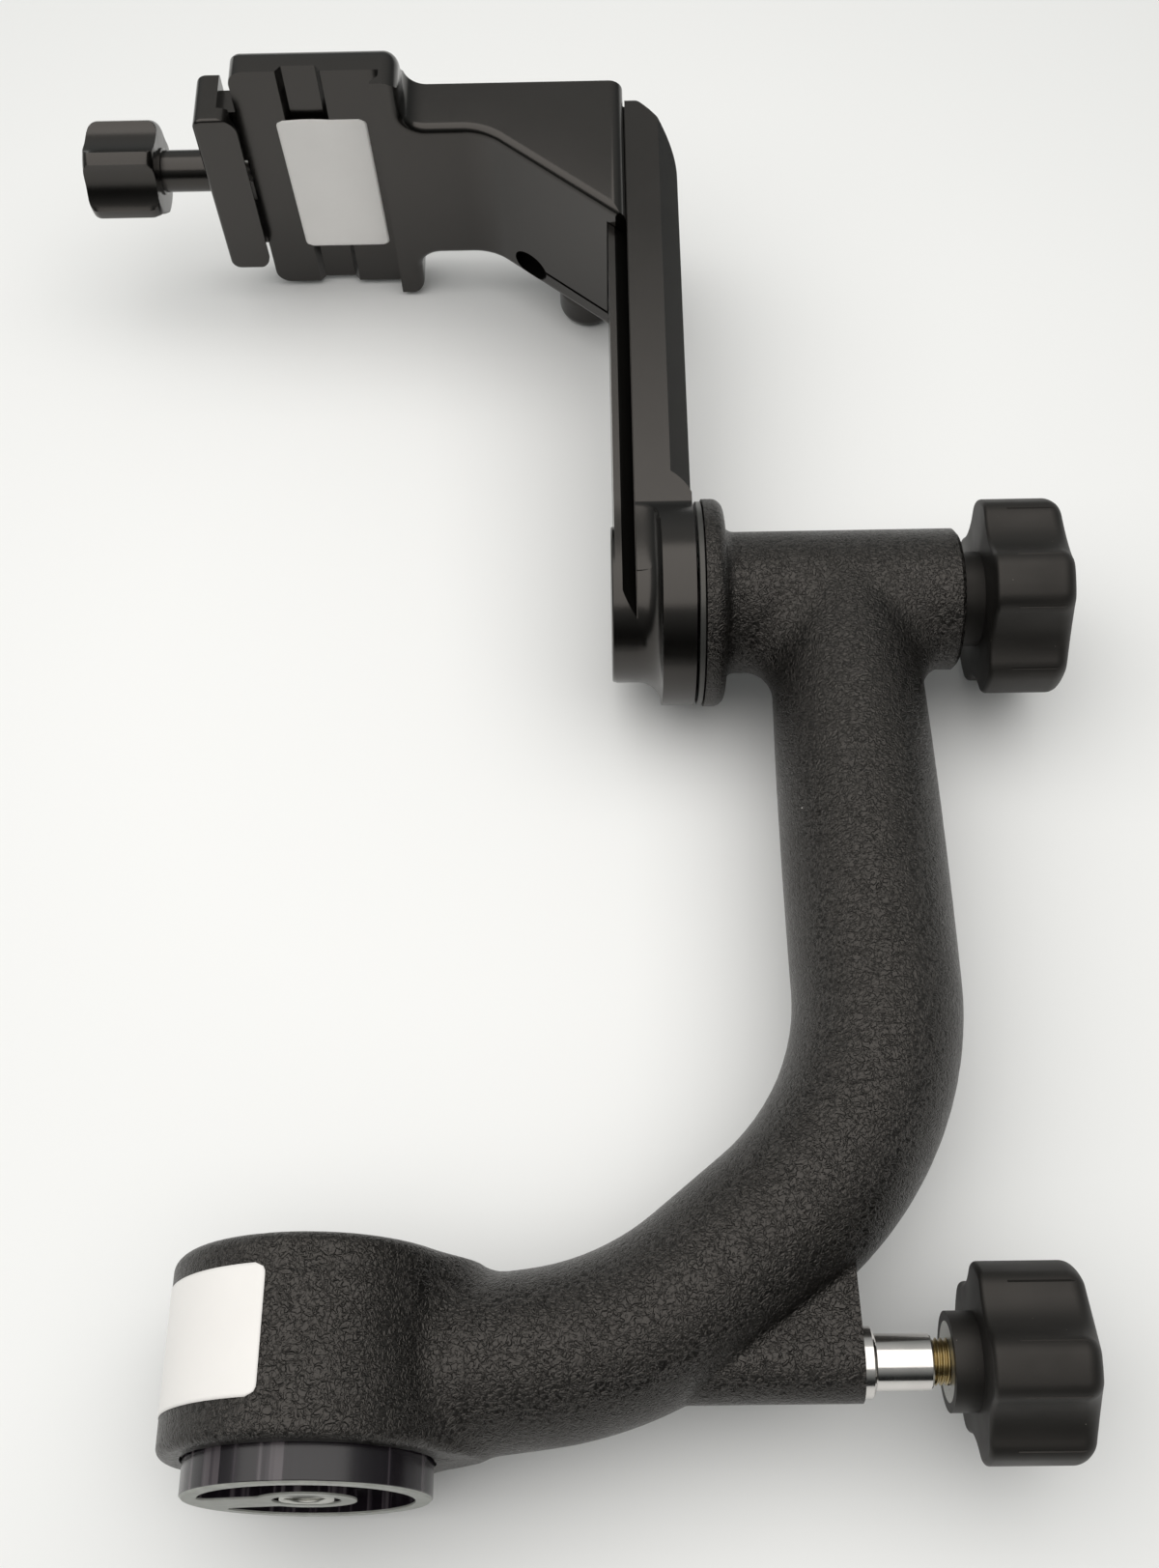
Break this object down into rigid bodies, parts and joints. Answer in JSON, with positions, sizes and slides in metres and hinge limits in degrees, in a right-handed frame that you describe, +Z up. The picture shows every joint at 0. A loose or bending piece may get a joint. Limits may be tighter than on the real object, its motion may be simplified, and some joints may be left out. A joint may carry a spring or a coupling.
{
  "type": "gimbal tripod head",
  "caption": "Gimbal tripod head: cast J-shaped arm on a panning foot, tilting swing arm with a sliding lens-plate clamp, and lobed lock knobs.",
  "frame": {"origin": "centre of the foot's bottom face, on the pan axis, at the mouth of the tripod thread", "axes": "+Z up along the pan axis, +X from the pan axis towards the upright of the arm and along the tilt axis, +Y along the lens"},
  "size_m": [0.27, 0.0871, 0.3788],
  "materials": {
    "wrinkle_black": "black wrinkle powder coat",
    "anodised_black": "satin black anodised",
    "foot_anodised": "glossy dark anodised, turned",
    "knob_black": "matt black moulded",
    "steel": "machined",
    "chrome": "polished",
    "brass": "threaded brass",
    "washer_grey": "satin light grey"
  },
  "bodies": {
    "base": {"base_foot": "foot_anodised", "thread_insert": "steel", "pan_spindle": "steel", "spindle_nut": "steel"},
    "arm": {"arm_casting": "wrinkle_black", "pan_bearing_lower": "steel", "pan_bearing_upper": "steel", "bearing_retainer": "anodised_black", "pan_lock_bushing": "chrome", "tilt_bearing_left": "steel", "tilt_bearing_right": "steel", "friction_washer": "washer_grey", "tilt_lock_bushing": "steel"},
    "pan_brake": {"pan_lock_shoe": "brass"},
    "pan_knob": {"pan_knob": "knob_black", "pan_knob_insert": "steel", "pan_knob_stud": "brass"},
    "tilt_brake": {"tilt_lock_shoe": "brass"},
    "tilt_knob": {"tilt_knob": "knob_black", "tilt_knob_insert": "steel", "tilt_knob_stud": "brass"},
    "swing_arm": {"swing_arm": "anodised_black", "tilt_axle": "anodised_black", "axle_nut": "steel", "axle_cap": "anodised_black"},
    "platform": {"platform": "anodised_black"},
    "jaw": {"clamp_jaw": "anodised_black", "jaw_guide_pins": "steel"},
    "clamp_knob": {"clamp_knob": "anodised_black", "clamp_screw": "steel"},
    "lock_washer": {"platform_lock_washer": "washer_grey"},
    "lock_knob": {"platform_lock_knob": "anodised_black", "platform_lock_screw": "steel"}
  },
  "joints": [
    {"name": "pan", "type": "hinge", "parent": "base", "child": "arm", "pos_m": [0, 0, 0], "axis": [0, 0, 1], "continuous": true},
    {"name": "tilt", "type": "hinge", "parent": "arm", "child": "swing_arm", "pos_m": [0, 0, 0.2158], "axis": [1, 0, 0], "continuous": true},
    {"name": "platform_slide", "type": "slide", "parent": "swing_arm", "child": "platform", "axis": [0, -0.0941, 0.9956], "range_m": [-0.085, 0]},
    {"name": "pan_knob_turn", "type": "hinge", "parent": "pan_brake", "child": "pan_knob", "pos_m": [0.14, 0, 0.02524], "axis": [1, 0, 0], "range_deg": [0, 723]},
    {"name": "pan_lock_slide", "type": "slide", "parent": "arm", "child": "pan_brake", "axis": [1, 0, 0], "range_m": [0, 0.00318]},
    {"name": "tilt_knob_turn", "type": "hinge", "parent": "tilt_brake", "child": "tilt_knob", "pos_m": [0.16, 0, 0.2158], "axis": [1, 0, 0], "range_deg": [0, 723]},
    {"name": "tilt_lock_slide", "type": "slide", "parent": "arm", "child": "tilt_brake", "axis": [1, 0, 0], "range_m": [0, 0.00318]},
    {"name": "clamp_knob_turn", "type": "hinge", "parent": "jaw", "child": "clamp_knob", "pos_m": [-0.075, -0.01412, 0.36513], "axis": [1, 0, 0], "range_deg": [0, 1333]},
    {"name": "jaw_slide", "type": "slide", "parent": "platform", "child": "jaw", "axis": [1, 0, 0], "range_m": [0, 0.0047]},
    {"name": "platform_lock_turn", "type": "hinge", "parent": "lock_washer", "child": "lock_knob", "pos_m": [0.059, 0.01744, 0.35004], "axis": [0, 0.9956, 0.0941], "range_deg": [0, 363]},
    {"name": "platform_lock_slide", "type": "slide", "parent": "platform", "child": "lock_washer", "axis": [0, 0.9956, 0.0941], "range_m": [0, 0.00127]}
  ],
  "couplings": [
    {"joint": "pan_knob_turn", "follows": "pan_lock_slide", "rad_per_m": 3957.9},
    {"joint": "tilt_knob_turn", "follows": "tilt_lock_slide", "rad_per_m": 3957.9},
    {"joint": "clamp_knob_turn", "follows": "jaw_slide", "rad_per_m": 4947.4},
    {"joint": "platform_lock_turn", "follows": "platform_lock_slide", "rad_per_m": 4947.4}
  ]
}
